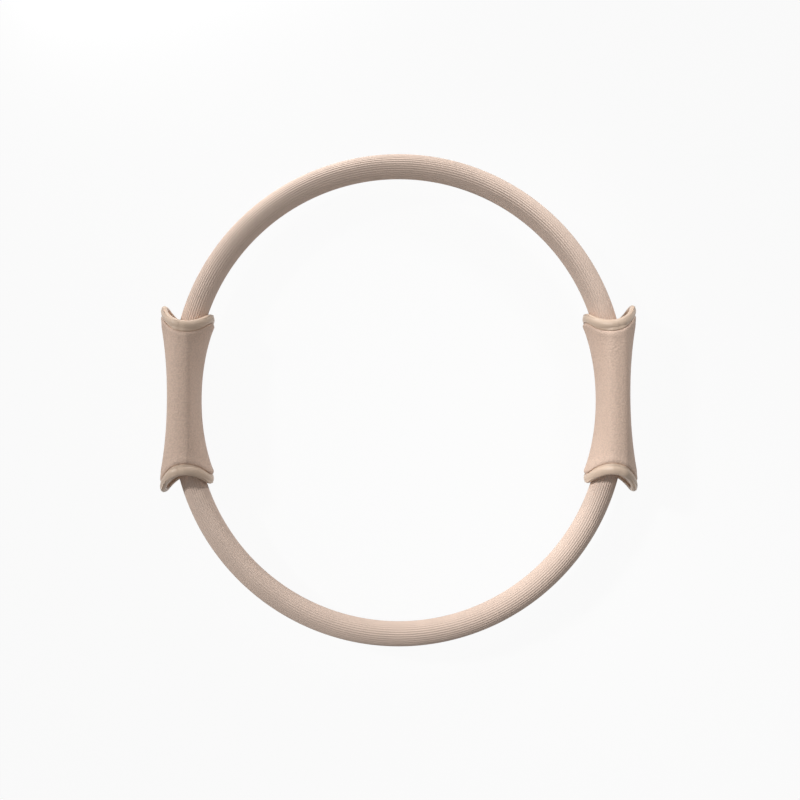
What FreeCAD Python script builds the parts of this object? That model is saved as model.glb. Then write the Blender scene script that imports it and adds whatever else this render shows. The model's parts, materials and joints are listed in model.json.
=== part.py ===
import FreeCAD, Part
import math
import os
import Sketcher
from FreeCAD import Placement, Rotation, Vector

# Pilates ring lying flat. The ring's axis is Z, the handles stand at plus and minus X, and the
# origin is the middle of the ring, half way through its depth. All sizes are in millimetres.

HOOP_SIZES = [
    ("bend_radius", 165.0, "centre line radius of each half hoop"),
    ("straight_run", 30.0, "straight stretch between the two bend centres"),
    ("band_width", 12.0, "spring band, along the ring's axis"),
    ("band_thickness", 3.8, "spring band, across its bend"),
    ("band_end_gap", 4.0, "space between the two band ends inside a handle"),
    ("sleeve_thickness", 19.5, "soft sleeve, across the bend"),
    ("sleeve_depth", 22.0, "soft sleeve, along the ring's axis"),
    ("sleeve_end", 36.0, "height above the handle's middle where a sleeve stops"),
    ("lumen_clearance", 0.2, "room round the band inside its sleeve"),
    ("hoop_clearance", 0.3, "room round the hoop inside a handle"),
]

HANDLE_SIZES = [
    ("seam_gap", 0.1, "parting gap between the two halves of a handle"),
    ("grip_half_width", 12.5, "parting plane to the grip's face at the waist"),
    ("grip_half_depth", 27.0, "ring's mid plane to the flat land on the grip's nose"),
    ("nose_radius", 7.0, "rounding of the grip's nose"),
    ("least_corner", 1.0, "least rounding of an inset section"),
    ("land_width", 2.0, "flat land on the nose, beside the parting plane"),
    ("bow_half_length", 55.5, "height where the lengthwise hollow ends and the mouth runs straight"),
    ("outer_flare", 5.0, "how far the outer face stands out at its mouths, past its waist"),
    ("inner_flare", 9.8, "how far the inner face stands out at its mouths, past its waist"),
    ("skin_thickness", 1.1, "soft grip skin"),
    ("bond_gap", 0.1, "glue line between skin and shell"),
    ("land_cut", 0.03, "how far the flat lands that the ring lies on are cut into the noses"),
    ("dip_run", 2.9, "end of the hollow to the rim's lowest point"),
    ("saddle_radius", 21.0, "round dip of a rim, seen along the ring's axis"),
    ("saddle_shift", 4.5, "parting plane to the rim's lowest point, on the inner half"),
    ("ear_radius", 4.0, "rounding of a rim's high points"),
    ("outer_rim_rise", 14.6, "rim's lowest point to its high point on the outer half"),
    ("inner_rim_rise", 8.7, "rim's lowest point to its high point on the inner half"),
    ("rim_band", 8.7, "bare rim between the skin's end and the rim's edge"),
    ("rim_inset", 0.25, "bare rim's face below the skin's face"),
    ("rim_groove", 0.5, "groove between the skin's end and the bare rim"),
    ("lip_wall", 3.0, "wall at the mouth"),
    ("lip_radius", 2.2, "rolled edge of the mouth"),
    ("lip_inset", 2.3, "middle of the rolled edge below the skin's face"),
    ("collar_length", 10.0, "collar that holds the sleeve"),
    ("stop_wall", 3.0, "web that the sleeve's end butts against"),
    ("shell_wall", 2.2, "wall beside the hollow middle of a shell"),
]

FASTENER_SIZES = [
    ("screw_height", 22.0, "screw axis above or below the handle's middle"),
    ("screw_diameter", 4.0, "screw shank"),
    ("screw_length", 16.0, "screw shank under the head"),
    ("head_diameter", 7.6, "screw head"),
    ("head_height", 2.6, "screw head"),
    ("head_dome", 0.9, "rise of the head's crown within its height"),
    ("drive_width", 3.0, "across flats of the hexagonal drive"),
    ("drive_depth", 1.5, "depth of the hexagonal drive"),
    ("seat_height", 7.5, "parting plane to the washer's seat"),
    ("washer_diameter", 9.0, "washer outside"),
    ("washer_thickness", 0.8, "washer"),
    ("counterbore_diameter", 9.6, "well for washer and head in the inner shell"),
    ("screw_clearance", 0.2, "room round the shank where it passes through"),
    ("thread_clearance", 0.1, "room round the shank in its insert"),
    ("insert_diameter", 6.0, "threaded insert outside"),
    ("insert_length", 6.0, "threaded insert"),
    ("insert_groove_width", 1.2, "groove round the insert's middle"),
    ("insert_groove_depth", 0.5, "groove round the insert's middle"),
    ("insert_setback", 0.3, "insert's end below the boss's face"),
    ("insert_clearance", 0.05, "room round the insert in its boss"),
    ("boss_diameter", 12.0, "screw boss in a shell"),
    ("cap_diameter", 12.0, "soft cap over a screw, level with the grip's face"),
    ("cap_clearance", 0.3, "ring gap round a cap"),
    ("cap_plug_diameter", 9.2, "part of the cap that enters the screw's well"),
    ("cap_plug_depth", 1.2, "part of the cap that enters the screw's well"),
    ("overrun", 5.0, "how far cuts run past what they cut"),
]

BOW_SHARES = (-1.0, -0.5, 0.0, 0.5, 1.0)
CROWN_SHARE = 0.9
HOLLOW_SHARES = (-1.0, 0.0, 1.0)

doc = FreeCAD.newDocument("pilates_ring")
sheet = doc.addObject("Spreadsheet::Sheet", "sizes")


def fill_sheet():
    """Write every driving size to the sheet, with its alias and a note."""
    for row, (alias, value, note) in enumerate(HOOP_SIZES + HANDLE_SIZES + FASTENER_SIZES, start=1):
        sheet.set(f"A{row}", alias)
        sheet.set(f"B{row}", str(value))
        sheet.set(f"C{row}", note)
        sheet.setAlias(f"B{row}", alias)
    doc.recompute()


fill_sheet()


def value_of(expression):
    """The number that an expression over the sheet gives now."""
    return float(sheet.evalExpression(expression))


def new_body(label):
    body = doc.addObject("PartDesign::Body", label)
    body.Label = label
    return body


def new_sketch(body, name, role, shift=None):
    """A sketch on one of the body's own origin planes, moved by expressions."""
    sketch = body.newObject("Sketcher::SketchObject", name)
    plane = next(item for item in body.Origin.OriginFeatures if item.Role == role)
    sketch.AttachmentSupport = [(plane, "")]
    sketch.MapMode = "FlatFace"
    for axis, expression in (shift or {}).items():
        sketch.setExpression(f"AttachmentOffset.Base.{axis}", expression)
    return sketch


def fix(sketch, kind, places, expression):
    """Add a dimension to a sketch and bind it to the sheet."""
    number = sketch.addConstraint(Sketcher.Constraint(kind, *places, value_of(expression)))
    sketch.setExpression(f"Constraints[{number}]", expression)


def relate(sketch, *relations):
    for relation in relations:
        sketch.addConstraint(Sketcher.Constraint(*relation))


def draw_rectangle(sketch, left, right, low, high):
    """A rectangle between four coordinates, each an expression."""
    x0, x1, y0, y1 = (value_of(edge) for edge in (left, right, low, high))
    corners = [Vector(x0, y0), Vector(x1, y0), Vector(x1, y1), Vector(x0, y1)]
    first = sketch.GeometryCount
    for start, end in zip(corners, corners[1:] + corners[:1]):
        sketch.addGeometry(Part.LineSegment(start, end), False)
    for step in range(4):
        relate(sketch, ("Coincident", first + step, 2, first + (step + 1) % 4, 1))
    relate(sketch, ("Horizontal", first), ("Vertical", first + 1))
    relate(sketch, ("Horizontal", first + 2), ("Vertical", first + 3))
    fix(sketch, "DistanceX", (first, 1), left)
    fix(sketch, "DistanceX", (first + 1, 1), right)
    fix(sketch, "DistanceY", (first, 1), low)
    fix(sketch, "DistanceY", (first + 2, 1), high)


def draw_slot(sketch, centre, radius, spread):
    """An upright slot outline about (centre, 0): two round ends and two short flats."""
    x, r, half = value_of(centre), value_of(radius), value_of(spread) / 2
    ahead = Vector(0, 0, 1)
    first = sketch.GeometryCount
    top = Part.Circle(Vector(x, half), ahead, r)
    bottom = Part.Circle(Vector(x, -half), ahead, r)
    sketch.addGeometry(Part.ArcOfCircle(top, 0, math.pi), False)
    sketch.addGeometry(Part.LineSegment(Vector(x - r, half), Vector(x - r, -half)), False)
    sketch.addGeometry(Part.ArcOfCircle(bottom, math.pi, 2 * math.pi), False)
    sketch.addGeometry(Part.LineSegment(Vector(x + r, -half), Vector(x + r, half)), False)
    for step in range(4):
        relate(sketch, ("Tangent", first + step, 2, first + (step + 1) % 4, 1))
    relate(sketch, ("Vertical", first + 1), ("Symmetric", first, 3, first + 2, 3, -1))
    fix(sketch, "DistanceX", (first, 3), centre)
    fix(sketch, "DistanceY", (first + 2, 3, first, 3), spread)
    fix(sketch, "Radius", (first,), radius)


def draw_circle(sketch, across, up, radius):
    """A circle whose centre and radius are expressions."""
    middle = Vector(value_of(across), value_of(up))
    number = sketch.addGeometry(Part.Circle(middle, Vector(0, 0, 1), value_of(radius)), False)
    fix(sketch, "DistanceX", (number, 3), across)
    if value_of(up) == 0:
        relate(sketch, ("PointOnObject", number, 3, -1))
    else:
        fix(sketch, "DistanceY", (number, 3), up)
    fix(sketch, "Radius", (number,), radius)


def sweep_feature(body, kind, name, sketch, length=None, reverse=False):
    """A Pad or Pocket of a sketch, to a bound length or through everything."""
    feature = body.newObject(f"PartDesign::{kind}", name)
    feature.Profile = sketch
    feature.Reversed = reverse
    if length is None:
        feature.Type = "ThroughAll"
    else:
        feature.setExpression("Length", length)
    return feature


def loft_feature(body, kind, name, sketches):
    feature = body.newObject(f"PartDesign::{kind}", name)
    feature.Profile = sketches[0]
    feature.Sections = sketches[1:]
    return feature


def mirrored(source, label, normal):
    """A mirror image about a plane through the origin."""
    image = doc.addObject("Part::Mirroring", label)
    image.Label = label
    image.Source = source
    image.Normal = normal
    return image


def combined(kind, label, base, tool):
    result = doc.addObject(f"Part::{kind}", label)
    result.Label = label
    result.Base = base
    result.Tool = tool
    return result


def grouped(label, members):
    group = doc.addObject("Part::Compound", label)
    group.Label = label
    group.Links = members
    return group


# Hoop: spring bands and their sleeves

def band_body(label, room):
    """Flat spring strip bent to a half circle, with straight ends that enter the handles."""
    body = new_body(label)
    half_thickness = f"sizes.band_thickness / 2 + ({room})"
    half_width = f"sizes.band_width / 2 + ({room})"
    arc = new_sketch(body, f"{label}_section", "YZ_Plane", {"x": "sizes.straight_run / 2"})
    draw_rectangle(arc, f"sizes.bend_radius - ({half_thickness})",
                   f"sizes.bend_radius + ({half_thickness})", f"-({half_width})", half_width)
    bend = body.newObject("PartDesign::Revolution", f"{label}_bend")
    bend.Profile = arc
    bend.ReferenceAxis = (arc, ["V_Axis"])
    bend.Midplane = True
    bend.Angle = 180
    ends = new_sketch(body, f"{label}_end_sections", "XZ_Plane", {"z": "-sizes.straight_run / 2"})
    for side in ("-", ""):
        inside = f"{side}sizes.bend_radius - ({half_thickness})"
        outside = f"{side}sizes.bend_radius + ({half_thickness})"
        draw_rectangle(ends, inside, outside, f"-({half_width})", half_width)
    sweep_feature(body, "Pad", f"{label}_ends", ends,
                  f"(sizes.straight_run - sizes.band_end_gap) / 2 + ({room})")
    return body


def drill_band(body):
    """One hole near each end for the clamping screws."""
    holes = new_sketch(body, f"{body.Label}_hole_places", "YZ_Plane")
    draw_circle(holes, "sizes.screw_height", "0", "sizes.screw_diameter / 2 + sizes.screw_clearance")
    drill = sweep_feature(body, "Pocket", f"{body.Label}_holes", holes)
    drill.Midplane = True


def sleeve_body(label, room, end, hollow):
    """Soft oval tube along the bend, from one handle to the other."""
    body = new_body(label)
    section = new_sketch(body, f"{label}_section", "YZ_Plane", {"x": "sizes.straight_run / 2"})
    draw_slot(section, "sizes.bend_radius", f"sizes.sleeve_thickness / 2 + ({room})",
              "sizes.sleeve_depth - sizes.sleeve_thickness")
    if hollow:
        half_thickness = "(sizes.band_thickness / 2 + sizes.lumen_clearance)"
        half_width = "(sizes.band_width / 2 + sizes.lumen_clearance)"
        draw_rectangle(section, f"sizes.bend_radius - {half_thickness}",
                       f"sizes.bend_radius + {half_thickness}", f"-{half_width}", half_width)
    tube = body.newObject("PartDesign::Revolution", f"{label}_bend")
    tube.Profile = section
    tube.ReferenceAxis = (section, ["V_Axis"])
    tube.Midplane = True
    rise = f"(({end}) - sizes.straight_run / 2)"
    tube.setExpression("Angle", f"180 deg - 2 * asin({rise} / sizes.bend_radius)")
    return body


def make_hoop():
    """Both half hoops, and the space that they need inside the handles."""
    band = band_body("upper_spring_band", "0")
    drill_band(band)
    sleeve = sleeve_body("upper_sleeve", "0", "sizes.sleeve_end", True)
    band_room = band_body("band_room", "sizes.hoop_clearance")
    sleeve_room = sleeve_body("sleeve_room", "sizes.hoop_clearance",
                              "sizes.sleeve_end - sizes.hoop_clearance", False)
    upper_room = combined("Fuse", "upper_hoop_room", band_room, sleeve_room)
    lower_room = mirrored(upper_room, "lower_hoop_room", Vector(0, 1, 0))
    nodes = [band, sleeve]
    nodes.append(mirrored(band, "lower_spring_band", Vector(0, 1, 0)))
    nodes.append(mirrored(sleeve, "lower_sleeve", Vector(0, 1, 0)))
    return nodes, grouped("hoop_room", [upper_room, lower_room])


# Handle halves, each built with its parting plane on X = 0 and its face towards +X

def bow_reach(half, height):
    """Distance from the parting plane to the grip's face at a height."""
    flare = f"sizes.{half}_flare"
    radius = f"(({flare} ^ 2 + sizes.bow_half_length ^ 2) / (2 * {flare}))"
    return f"(sizes.grip_half_width + {radius} - sqrt({radius} ^ 2 - ({height}) ^ 2))"


def mouth_run(half):
    """Length of a half's straight mouth, up to the rim's high point."""
    return f"(sizes.dip_run + sizes.{half}_rim_rise)"


def rim_top(half):
    """Height of a half's rim at its high point."""
    return f"(sizes.bow_half_length + {mouth_run(half)})"


def saddle_middle(half):
    """Rim's lowest point, measured from the parting plane towards this half's face."""
    return "-sizes.saddle_shift" if half == "outer" else "sizes.saddle_shift"


def half_section(body, name, height, reach, inset, back):
    """D-shaped section across a handle half: two round noses and one crowned face.

    The noses start near the parting plane, or further out where the face would stand out
    further than the section is deep."""
    sketch = new_sketch(body, name, "XZ_Plane", {"z": f"-({height})"})
    depth = f"sizes.grip_half_depth - ({inset})"
    nose = f"max(sizes.nose_radius - ({inset}); sizes.least_corner)"
    face = f"{reach} - ({inset})"
    start = f"max(sizes.land_width; {reach} - {CROWN_SHARE} * sizes.grip_half_depth)"
    c, r, a, b, n = (value_of(item) for item in (depth, nose, face, back, start))
    run = a - n
    crown = (run ** 2 + (c - r) ** 2 - r ** 2) / (2 * (run - r))
    turn = math.atan2(c - r, crown - run)
    ahead = Vector(0, 0, 1)
    sketch.addGeometry(Part.LineSegment(Vector(b, c), Vector(b, -c)), False)
    sketch.addGeometry(Part.LineSegment(Vector(b, -c), Vector(n, -c)), False)
    lower_nose = Part.Circle(Vector(n, r - c), ahead, r)
    face_arc = Part.Circle(Vector(a - crown, 0), ahead, crown)
    upper_nose = Part.Circle(Vector(n, c - r), ahead, r)
    sketch.addGeometry(Part.ArcOfCircle(lower_nose, -math.pi / 2, -turn), False)
    sketch.addGeometry(Part.ArcOfCircle(face_arc, -turn, turn), False)
    sketch.addGeometry(Part.ArcOfCircle(upper_nose, turn, math.pi / 2), False)
    sketch.addGeometry(Part.LineSegment(Vector(n, c), Vector(b, c)), False)
    sketch.addGeometry(Part.Point(Vector(a, 0)), True)
    relate(sketch, ("Coincident", 0, 2, 1, 1), ("Coincident", 5, 2, 0, 1))
    for step in range(1, 5):
        relate(sketch, ("Tangent", step, 2, step + 1, 1))
    relate(sketch, ("Horizontal", 1), ("Horizontal", 5))
    relate(sketch, ("Symmetric", 0, 1, 0, 2, -1), ("Equal", 2, 4))
    relate(sketch, ("PointOnObject", 6, 1, 3), ("PointOnObject", 6, 1, -1))
    if value_of(back) == 0:
        relate(sketch, ("PointOnObject", 0, 1, -2))
    else:
        fix(sketch, "DistanceX", (0, 1), back)
    fix(sketch, "DistanceY", (0, 1), depth)
    fix(sketch, "Radius", (2,), nose)
    fix(sketch, "DistanceX", (1, 2), start)
    fix(sketch, "DistanceX", (5, 1), start)
    fix(sketch, "DistanceX", (6, 1), face)
    return sketch


def bowed_sections(body, half, name, inset, back):
    """Sections from one end of the lengthwise hollow to the other."""
    sections = []
    for number, share in enumerate(BOW_SHARES):
        height = f"{share} * sizes.bow_half_length"
        reach = bow_reach(half, height)
        sections.append(half_section(body, f"{name}_section_{number}", height, reach, inset, back))
    return sections


def add_blank(body, half, inset, back="sizes.seam_gap / 2"):
    """The solid half: a hollow-backed loft and two straight mouths."""
    sections = bowed_sections(body, half, "blank", inset, back)
    loft_feature(body, "AdditiveLoft", "blank", sections)
    length = f"{mouth_run(half)} + sizes.overrun"
    sweep_feature(body, "Pad", "lower_mouth_blank", sections[0], length)
    sweep_feature(body, "Pad", "upper_mouth_blank", sections[-1], length, True)


def add_trim(body, half, setback):
    """Cut both ends to a saddle, seen along the ring's axis: a round dip and a rounded ear."""
    dip = f"sizes.bow_half_length + sizes.dip_run - ({setback})"
    rise = f"sizes.{half}_rim_rise"
    middle = saddle_middle(half)
    drop = f"(sizes.saddle_radius + sizes.ear_radius - {rise})"
    across = f"sqrt((sizes.saddle_radius + sizes.ear_radius) ^ 2 - {drop} ^ 2)"
    face = bow_reach(half, "sizes.bow_half_length")
    side = f"max({middle} + {across}; {face}) + sizes.overrun"
    saddle, ear = "sizes.saddle_radius", "sizes.ear_radius"
    m, d, h, w, s, p, q = (value_of(item) for item in (middle, dip, rise, across, side, saddle, ear))
    tilt = math.atan2(p + q - h, w)
    behind = "-sizes.lip_radius - sizes.seam_gap"
    b = value_of(behind)
    lean = math.asin((b - m) / p)
    back = d + p - p * math.cos(lean)
    ahead = Vector(0, 0, 1)
    sketch = new_sketch(body, "rim_outline", "XY_Plane")
    sketch.addGeometry(Part.LineSegment(Vector(b, -back), Vector(b, back)), False)
    upper_dip = Part.Circle(Vector(m, d + p), ahead, p)
    sketch.addGeometry(Part.ArcOfCircle(upper_dip, lean - math.pi / 2, -tilt), False)
    upper_ear = Part.Circle(Vector(m + w, d + h - q), ahead, q)
    sketch.addGeometry(Part.ArcOfCircle(upper_ear, math.pi / 2, math.pi - tilt), False)
    sketch.addGeometry(Part.LineSegment(Vector(m + w, d + h), Vector(s, d + h)), False)
    sketch.addGeometry(Part.LineSegment(Vector(s, d + h), Vector(s, -d - h)), False)
    sketch.addGeometry(Part.LineSegment(Vector(s, -d - h), Vector(m + w, -d - h)), False)
    lower_ear = Part.Circle(Vector(m + w, q - d - h), ahead, q)
    sketch.addGeometry(Part.ArcOfCircle(lower_ear, tilt - math.pi, -math.pi / 2), False)
    lower_dip = Part.Circle(Vector(m, -d - p), ahead, p)
    sketch.addGeometry(Part.ArcOfCircle(lower_dip, tilt, math.pi / 2 - lean), False)
    relate(sketch, ("Coincident", 0, 2, 1, 1), ("Coincident", 3, 2, 4, 1))
    relate(sketch, ("Coincident", 4, 2, 5, 1), ("Coincident", 7, 2, 0, 1))
    relate(sketch, ("Tangent", 1, 2, 2, 2), ("Tangent", 2, 1, 3, 1))
    relate(sketch, ("Tangent", 5, 2, 6, 2), ("Tangent", 6, 1, 7, 1))
    relate(sketch, ("Vertical", 0), ("Horizontal", 3), ("Horizontal", 5))
    relate(sketch, ("Equal", 1, 7), ("Equal", 2, 6))
    relate(sketch, ("Symmetric", 1, 3, 7, 3, -1), ("Symmetric", 4, 1, 4, 2, -1))
    fix(sketch, "DistanceX", (0, 1), behind)
    fix(sketch, "DistanceX", (1, 3), middle)
    fix(sketch, "DistanceY", (1, 3), f"{dip} + sizes.saddle_radius")
    fix(sketch, "Radius", (1,), saddle)
    fix(sketch, "Radius", (2,), ear)
    fix(sketch, "DistanceY", (3, 1), f"{dip} + {rise}")
    fix(sketch, "DistanceX", (3, 2), side)
    high = f"{rim_top(half)} + 2 * sizes.overrun"
    draw_rectangle(sketch, "-sizes.overrun", f"{side} + sizes.overrun", f"-({high})", high)
    trim = sweep_feature(body, "Pocket", "rim_trim", sketch)
    trim.Midplane = True


def add_mouths(body, half):
    """Open both ends down to the collars, with a wall that runs up to the lip."""
    inset = "sizes.skin_thickness + sizes.lip_wall"
    for name, sign in (("lower", "-"), ("upper", "")):
        floor = f"{sign}(sizes.sleeve_end + sizes.collar_length)"
        top = f"{sign}({rim_top(half)} + sizes.overrun)"
        sections = [half_section(body, f"{name}_mouth_floor", floor, bow_reach(half, floor), inset, "0"),
                    half_section(body, f"{name}_mouth_top", top, bow_reach(half, "sizes.bow_half_length"),
                                 inset, "0")]
        loft_feature(body, "SubtractiveLoft", f"{name}_mouth", sections)


def is_rim(face):
    """True for a face that the saddle cut has left at an end."""
    surface = face.Surface
    across = surface.Axis.dot(Vector(0, 0, 1)) if type(surface).__name__ == "Cylinder" else 0
    level = surface.Axis.dot(Vector(0, 1, 0)) if type(surface).__name__ == "Plane" else 0
    return max(abs(across), abs(level)) > 0.5


def lip_line(guide, sign):
    """Names of the edges that run along one end of a guide, from one back edge to the other."""
    shape = guide.Shape
    ends = [face for face in shape.Faces if is_rim(face) and sign * face.CenterOfMass.y > 0]
    back = value_of("-sizes.lip_radius / 2")
    around = [edge for face in ends for edge in face.Edges if edge.BoundBox.XMax > back]
    line = [edge for edge in around if sum(edge.isSame(other) for other in around) == 1]
    return [f"Edge{number}" for number, edge in enumerate(shape.Edges, start=1)
            if any(edge.isSame(part) for part in line)]


def make_parting_block():
    """Space behind the parting face of a half, that its lips are cut back from."""
    block = doc.addObject("Part::Box", "parting_block")
    reach = f"({rim_top('outer')} + sizes.overrun)"
    side = "(sizes.grip_half_depth + sizes.overrun)"
    block.setExpression("Length", "sizes.overrun + sizes.seam_gap / 2")
    block.setExpression("Width", f"2 * {reach}")
    block.setExpression("Height", f"2 * {side}")
    block.setExpression("Placement.Base.x", "-sizes.overrun")
    block.setExpression("Placement.Base.y", f"-{reach}")
    block.setExpression("Placement.Base.z", f"-{side}")
    return block


def rolled_lips(half, parting_block):
    """Round beads along both mouths, swept along the middle of the wall's end."""
    guide = new_body(f"{half}_lip_guide")
    add_blank(guide, half, "sizes.lip_inset", "-sizes.lip_radius")
    add_trim(guide, half, "sizes.lip_radius")
    doc.recompute()
    start = f"(sizes.lip_radius + {saddle_middle(half)})"
    dip = "sizes.bow_half_length + sizes.dip_run - sizes.lip_radius"
    height = f"{dip} + sizes.saddle_radius - sqrt(sizes.saddle_radius ^ 2 - {start} ^ 2)"
    lips = []
    for name, sign in (("lower", -1), ("upper", 1)):
        section = doc.addObject("Part::Circle", f"{half}_{name}_lip_section")
        section.Placement = Placement(Vector(0, 0, 0), Rotation(Vector(0, 1, 0), 90))
        section.setExpression("Placement.Base.x", "-sizes.lip_radius")
        section.setExpression("Placement.Base.y", f"{sign} * ({height})")
        section.setExpression("Placement.Base.z", "sizes.grip_half_depth - sizes.lip_inset")
        section.setExpression("Radius", "sizes.lip_radius")
        bead = doc.addObject("Part::Sweep", f"{half}_{name}_bead")
        bead.Sections = [section]
        bead.Spine = (guide, lip_line(guide, sign))
        bead.Solid = True
        lips.append(combined("Cut", f"{half}_{name}_lip", bead, parting_block))
    return lips


def add_middle(body, half):
    """Hollow the middle between the collars, leaving two screw bosses."""
    inset = "sizes.skin_thickness + sizes.shell_wall"
    sections = []
    for number, share in enumerate(HOLLOW_SHARES):
        height = f"{share} * (sizes.sleeve_end - sizes.stop_wall)"
        reach = bow_reach(half, height)
        sections.append(half_section(body, f"hollow_section_{number}", height, reach, inset, "0"))
    loft_feature(body, "SubtractiveLoft", "hollow_middle", sections)
    start = "sizes.band_thickness / 2 + sizes.hoop_clearance"
    bosses = new_sketch(body, "boss_places", "YZ_Plane", {"z": start})
    for sign in ("-", ""):
        draw_circle(bosses, f"{sign}sizes.screw_height", "0", "sizes.boss_diameter / 2")
    reach = bow_reach(half, "sizes.screw_height")
    sweep_feature(body, "Pad", "bosses", bosses,
                  f"{reach} - sizes.skin_thickness - sizes.shell_wall / 2 - ({start})")


def add_holes(body, name, start, radius, depth=None):
    """Two round holes at the screws' places, from a height above the parting plane outwards."""
    places = new_sketch(body, f"{name}_places", "YZ_Plane", {"z": start})
    for sign in ("-", ""):
        draw_circle(places, f"{sign}sizes.screw_height", "0", radius)
    sweep_feature(body, "Pocket", name, places, depth, True)


def stand_on_ring(piece, half):
    """Put a half on the right side of the ring, its face outwards or towards the middle."""
    if half == "inner":
        piece.Placement = Placement(Vector(0, 0, 0), Rotation(Vector(0, 0, 1), 180))
    piece.setExpression("Placement.Base.x", "sizes.bend_radius")


def add_cover(body, half, outside, inside, back):
    """A cover over a half's whole face, between two insets."""
    add_blank(body, half, outside, back)
    sections = bowed_sections(body, half, "inside", inside, f"{back} - sizes.seam_gap / 2")
    loft_feature(body, "SubtractiveLoft", "inside", sections)
    length = f"{mouth_run(half)} + 2 * sizes.overrun"
    sweep_feature(body, "Pocket", "lower_mouth_inside", sections[0], length, True)
    sweep_feature(body, "Pocket", "upper_mouth_inside", sections[-1], length)


def skin_seat(half):
    """Space that the skin and the groove at its ends take from a shell."""
    body = new_body(f"{half}_skin_seat")
    add_cover(body, half, "-sizes.skin_thickness", "sizes.skin_thickness", "0")
    add_trim(body, half, "sizes.rim_band - sizes.rim_groove")
    return body


def make_shell(half, hoop_room, parting_block):
    body = new_body(f"{half}_shell_moulding")
    add_blank(body, half, "sizes.rim_inset")
    add_trim(body, half, "sizes.lip_radius")
    add_mouths(body, half)
    add_middle(body, half)
    boss_face = "sizes.band_thickness / 2 + sizes.hoop_clearance"
    if half == "outer":
        add_holes(body, "insert_holes", boss_face, "sizes.insert_diameter / 2 + sizes.insert_clearance",
                  "sizes.insert_setback + sizes.insert_length + sizes.insert_clearance")
    else:
        add_holes(body, "screw_holes", "0", "sizes.screw_diameter / 2 + sizes.screw_clearance")
        add_holes(body, "screw_wells", "sizes.seat_height", "sizes.counterbore_diameter / 2")
    lower_lip, upper_lip = rolled_lips(half, parting_block)
    lipped = combined("Fuse", f"{half}_shell_with_lip", body, lower_lip)
    lipped = combined("Fuse", f"{half}_shell_with_lips", lipped, upper_lip)
    seated = combined("Cut", f"{half}_shell_with_seat", lipped, skin_seat(half))
    placed = grouped(f"{half}_shell_in_place", [seated])
    stand_on_ring(placed, half)
    return combined("Cut", f"right_{half}_shell", placed, hoop_room)


def add_lands(body, half):
    """Flat lands along both noses, for the ring to lie on."""
    reach = rim_top(half)
    low = "(sizes.grip_half_depth - sizes.land_cut)"
    high = "(sizes.grip_half_depth + sizes.overrun)"
    sketch = new_sketch(body, "land_outline", "YZ_Plane")
    draw_rectangle(sketch, f"-{reach}", reach, low, high)
    draw_rectangle(sketch, f"-{reach}", reach, f"-{high}", f"-{low}")
    sweep_feature(body, "Pocket", "lands", sketch, None, True)


def make_skin(half):
    """Soft skin over a shell, between the two bare rims."""
    body = new_body(f"{half}_grip_moulding")
    add_cover(body, half, "0", "sizes.skin_thickness - sizes.bond_gap", "sizes.seam_gap / 2")
    add_trim(body, half, "sizes.rim_band")
    add_lands(body, half)
    stand_on_ring(body, half)
    return body


# Fasteners, each made once above the middle of the right handle

def screw_side(label):
    """A body whose X axis lies on the upper screw's axis, with X = 0 on the parting plane."""
    body = new_body(label)
    body.setExpression("Placement.Base.x", "sizes.bend_radius")
    body.setExpression("Placement.Base.y", "sizes.screw_height")
    return body


def turn_profile(body, points):
    """Turn an outline, given as pairs of expressions along and away from the axis."""
    sketch = new_sketch(body, f"{body.Label}_profile", "XY_Plane")
    places = [Vector(value_of(along), value_of(away)) for along, away in points]
    count = len(points)
    for number in range(count):
        sketch.addGeometry(Part.LineSegment(places[number], places[(number + 1) % count]), False)
    for number in range(count):
        relate(sketch, ("Coincident", number, 2, (number + 1) % count, 1))
    for number, (along, away) in enumerate(points):
        fix(sketch, "DistanceX", (number, 1), along)
        if away == "0":
            relate(sketch, ("PointOnObject", number, 1, -1))
        else:
            fix(sketch, "DistanceY", (number, 1), away)
    turned = body.newObject("PartDesign::Revolution", f"{body.Label}_turned")
    turned.Profile = sketch
    turned.ReferenceAxis = (sketch, ["H_Axis"])
    turned.Angle = 360
    return turned


def make_screw():
    """Crowned head towards the ring's middle, with a hexagonal drive."""
    body = screw_side("screw")
    seat = "-(sizes.seat_height + sizes.washer_thickness)"
    shank = "sizes.screw_diameter / 2"
    head = "sizes.head_diameter / 2"
    shoulder = f"{seat} - (sizes.head_height - sizes.head_dome)"
    crown = f"{seat} - sizes.head_height"
    tip = f"{seat} + sizes.screw_length"
    turn_profile(body, [(crown, "0"), (crown, f"{head} - sizes.head_dome"), (shoulder, head), (seat, head),
                        (seat, shank), (tip, shank), (tip, "0")])
    drive = new_sketch(body, "drive_outline", "YZ_Plane", {"z": crown})
    corner_radius = "sizes.drive_width / sqrt(3)"
    radius = value_of(corner_radius)
    corners = [Vector(radius * math.cos(turn * math.pi / 3), radius * math.sin(turn * math.pi / 3))
               for turn in range(6)]
    circle = drive.addGeometry(Part.Circle(Vector(0, 0), Vector(0, 0, 1), radius), True)
    for number in range(6):
        drive.addGeometry(Part.LineSegment(corners[number], corners[(number + 1) % 6]), False)
    relate(drive, ("Coincident", circle, 3, -1, 1))
    for number in range(6):
        relate(drive, ("Coincident", 1 + number, 2, 1 + (number + 1) % 6, 1))
        relate(drive, ("PointOnObject", 1 + number, 1, circle))
    for number in range(1, 6):
        relate(drive, ("Equal", 1, 1 + number))
    relate(drive, ("PointOnObject", 1, 1, -1))
    fix(drive, "Radius", (circle,), corner_radius)
    sweep_feature(body, "Pocket", "drive", drive, "sizes.drive_depth", True)
    return body


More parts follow.
